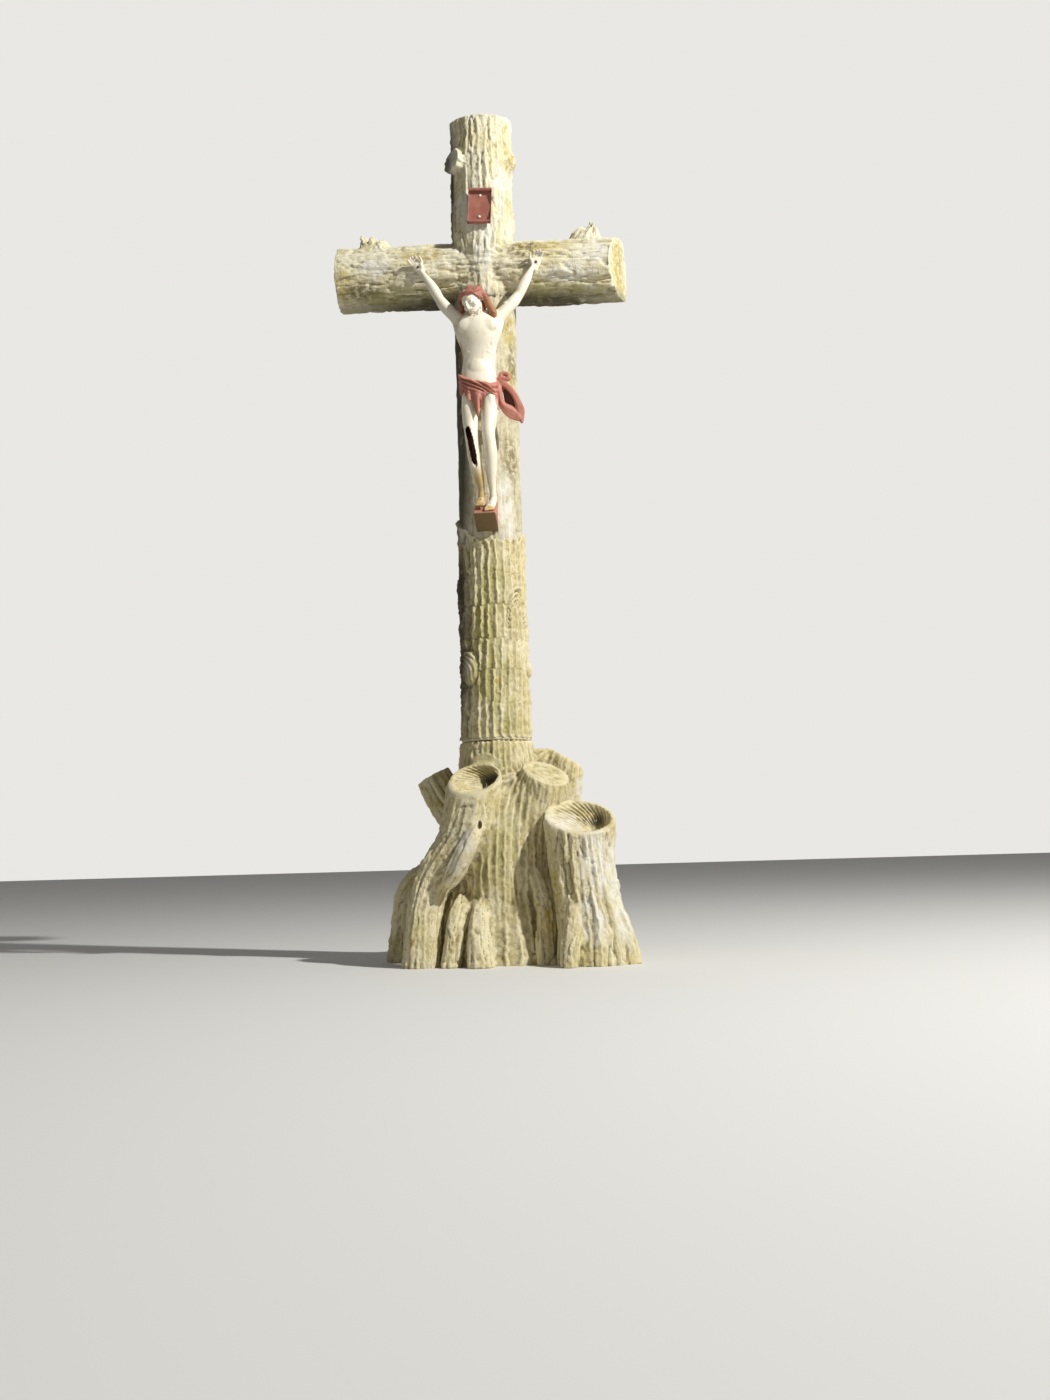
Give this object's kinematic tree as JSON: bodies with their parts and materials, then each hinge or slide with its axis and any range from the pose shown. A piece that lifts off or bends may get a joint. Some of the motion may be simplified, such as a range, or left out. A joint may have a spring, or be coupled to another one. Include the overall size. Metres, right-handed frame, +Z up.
{
  "type": "wayside shrine",
  "caption": "Rustic cement wayside cross modelled as a felled tree on a rooted stump with hollow planter stumps and cut stubs, carrying a painted cast figure, footrest and scroll plate.",
  "frame": {"origin": "on the ground, on the axis of the shaft", "axes": "+Z up along the shaft, -Y towards the viewer and the figure, +X along the arm of the beam on the viewer's right"},
  "size_m": [1.553, 1.2188, 4.5351],
  "materials": {
    "cement": "matte",
    "peeled_cement": "matte",
    "mortar": "matte",
    "plate_paint": "matte",
    "flesh_paint": "satin",
    "hair_paint": "matte",
    "cloth_paint": "matte",
    "footrest_paint": "matte",
    "nail_iron": "matte"
  },
  "bodies": {
    "root": {"base_stump": "cement", "cup_stump_right": "cement", "cup_stump_left": "cement", "stub_right_flat": "cement", "stub_right_rear": "cement", "stub_left_rear": "cement", "root_front_left": "cement", "root_left": "cement", "root_front_small": "cement", "root_front_centre": "cement", "root_right_front": "cement", "root_right": "cement", "root_back_right": "cement", "root_back_left": "cement", "root_knot": "cement", "mortar_joint": "mortar", "shaft_lower": "cement", "bark_tongue": "cement", "bark_knots": "cement", "branch_scar": "cement", "shaft_upper": "peeled_cement", "beam_left": "cement", "beam_right": "cement", "beam_stubs": "cement", "post_head": "cement", "post_stubs": "cement", "scroll_plate": "plate_paint", "plate_rivets": "flesh_paint", "figure_torso": "flesh_paint", "figure_head": "flesh_paint", "figure_hair": "hair_paint", "thorn_crown": "hair_paint", "arm_left": "flesh_paint", "arm_right": "flesh_paint", "leg_left": "flesh_paint", "leg_right": "flesh_paint", "loincloth": "cloth_paint", "loincloth_tail": "cloth_paint", "footrest": "footrest_paint", "hand_nails": "nail_iron", "foot_nails": "nail_iron"}
  },
  "joints": []
}
